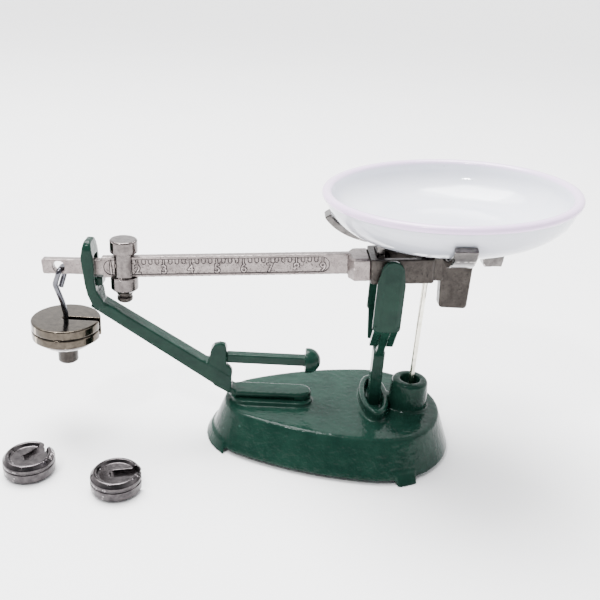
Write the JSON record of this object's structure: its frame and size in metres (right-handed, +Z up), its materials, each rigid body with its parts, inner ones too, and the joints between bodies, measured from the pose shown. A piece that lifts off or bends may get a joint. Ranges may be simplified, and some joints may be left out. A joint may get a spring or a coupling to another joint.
{
  "type": "miniature steelyard counter scale",
  "caption": "Miniature counter scale: green cast base and fork, tilting graduated beam with sliding poise, dish on a carrier, hanging slotted weights and loose weights beside it.",
  "frame": {"origin": "on the surface it stands on, under the middle of the whole object with its loose weights", "axes": "+X along the beam from the hanger to the dish, +Y to the back, +Z up"},
  "size_m": [0.0726, 0.034, 0.0395],
  "materials": {
    "green_paint": "gloss enamel paint over a smooth casting",
    "cast_nickel": "warm grey nickel plate on grainy cast metal",
    "dark_nickel": "darker, duller nickel plate",
    "polished_nickel": "smooth dark nickel plate",
    "bright_nickel": "turned and bright plated",
    "screw_steel": "plain bright steel",
    "bright_wire": "bright drawn wire",
    "dark_wire": "dull drawn wire",
    "weight_nickel": "brownish nickel plate",
    "gunmetal": "dark gunmetal plate, polished rim",
    "white_enamel": "white glossy enamel"
  },
  "bodies": {
    "root": {"base_casting": "green_paint", "fulcrum_fork": "green_paint", "guard_arm": "green_paint", "weight_rail": "green_paint", "base_screws": "screw_steel"},
    "beam": {"beam_bar": "cast_nickel", "pan_frame": "dark_nickel", "counterbalance": "dark_nickel", "fulcrum_pin": "screw_steel", "load_pin": "screw_steel", "pan_carrier": "polished_nickel"},
    "dish": {"dish": "white_enamel"},
    "rod": {"guide_rod": "bright_wire"},
    "poise": {"poise": "bright_nickel"},
    "poise_screw": {"poise_screw": "dark_nickel"},
    "hanger": {"hook_wire": "dark_wire", "hanger_saucer": "bright_nickel", "hanger_nut": "dark_nickel"},
    "hung_weight_upper": {"hung_weight_upper": "weight_nickel"},
    "hung_weight_lower": {"hung_weight_lower": "weight_nickel"},
    "loose_weight_left": {"loose_weight_left": "gunmetal"},
    "loose_weight_right": {"loose_weight_right": "gunmetal"}
  },
  "joints": [
    {"name": "beam_tilt", "type": "hinge", "parent": "root", "child": "beam", "pos_m": [0.01314, 0.00055, 0.0277], "axis": [0, 1, 0], "range_deg": [0, 0.9]},
    {"name": "rod_swing", "type": "hinge", "parent": "beam", "child": "rod", "pos_m": [0.01833, 0.00055, 0.02809], "axis": [0, 1, 0], "range_deg": [-0.9, 0]},
    {"name": "dish_lift", "type": "slide", "parent": "beam", "child": "dish", "axis": [-0.075, 0, 0.9972], "range_m": [0, 0.015]},
    {"name": "poise_slide", "type": "slide", "parent": "beam", "child": "poise", "axis": [0.9972, 0, 0.075], "range_m": [-0.0007, 0.0275]},
    {"name": "poise_screw_turn", "type": "hinge", "parent": "poise", "child": "poise_screw", "pos_m": [-0.02216, 0.00055, 0.02155], "axis": [0, 0, 1], "range_deg": [0, 360]},
    {"name": "hanger_swing", "type": "hinge", "parent": "beam", "child": "hanger", "pos_m": [-0.03046, 0.00055, 0.02432], "axis": [0, 1, 0], "range_deg": [-1, 25]},
    {"name": "hung_weight_upper_off", "type": "slide", "parent": "hanger", "child": "hung_weight_upper", "axis": [-1, 0, 0], "range_m": [0, 0.006]},
    {"name": "hung_weight_lower_off", "type": "slide", "parent": "hanger", "child": "hung_weight_lower", "axis": [-1, 0, 0], "range_m": [0, 0.006]},
    {"name": "loose_weight_left_lift", "type": "slide", "parent": "root", "child": "loose_weight_left", "axis": [0, 0, 1], "range_m": [0, 0.02]},
    {"name": "loose_weight_right_lift", "type": "slide", "parent": "root", "child": "loose_weight_right", "axis": [0, 0, 1], "range_m": [0, 0.02]}
  ],
  "couplings": [
    {"joint": "rod_swing", "follows": "beam_tilt", "ratio": -1}
  ]
}
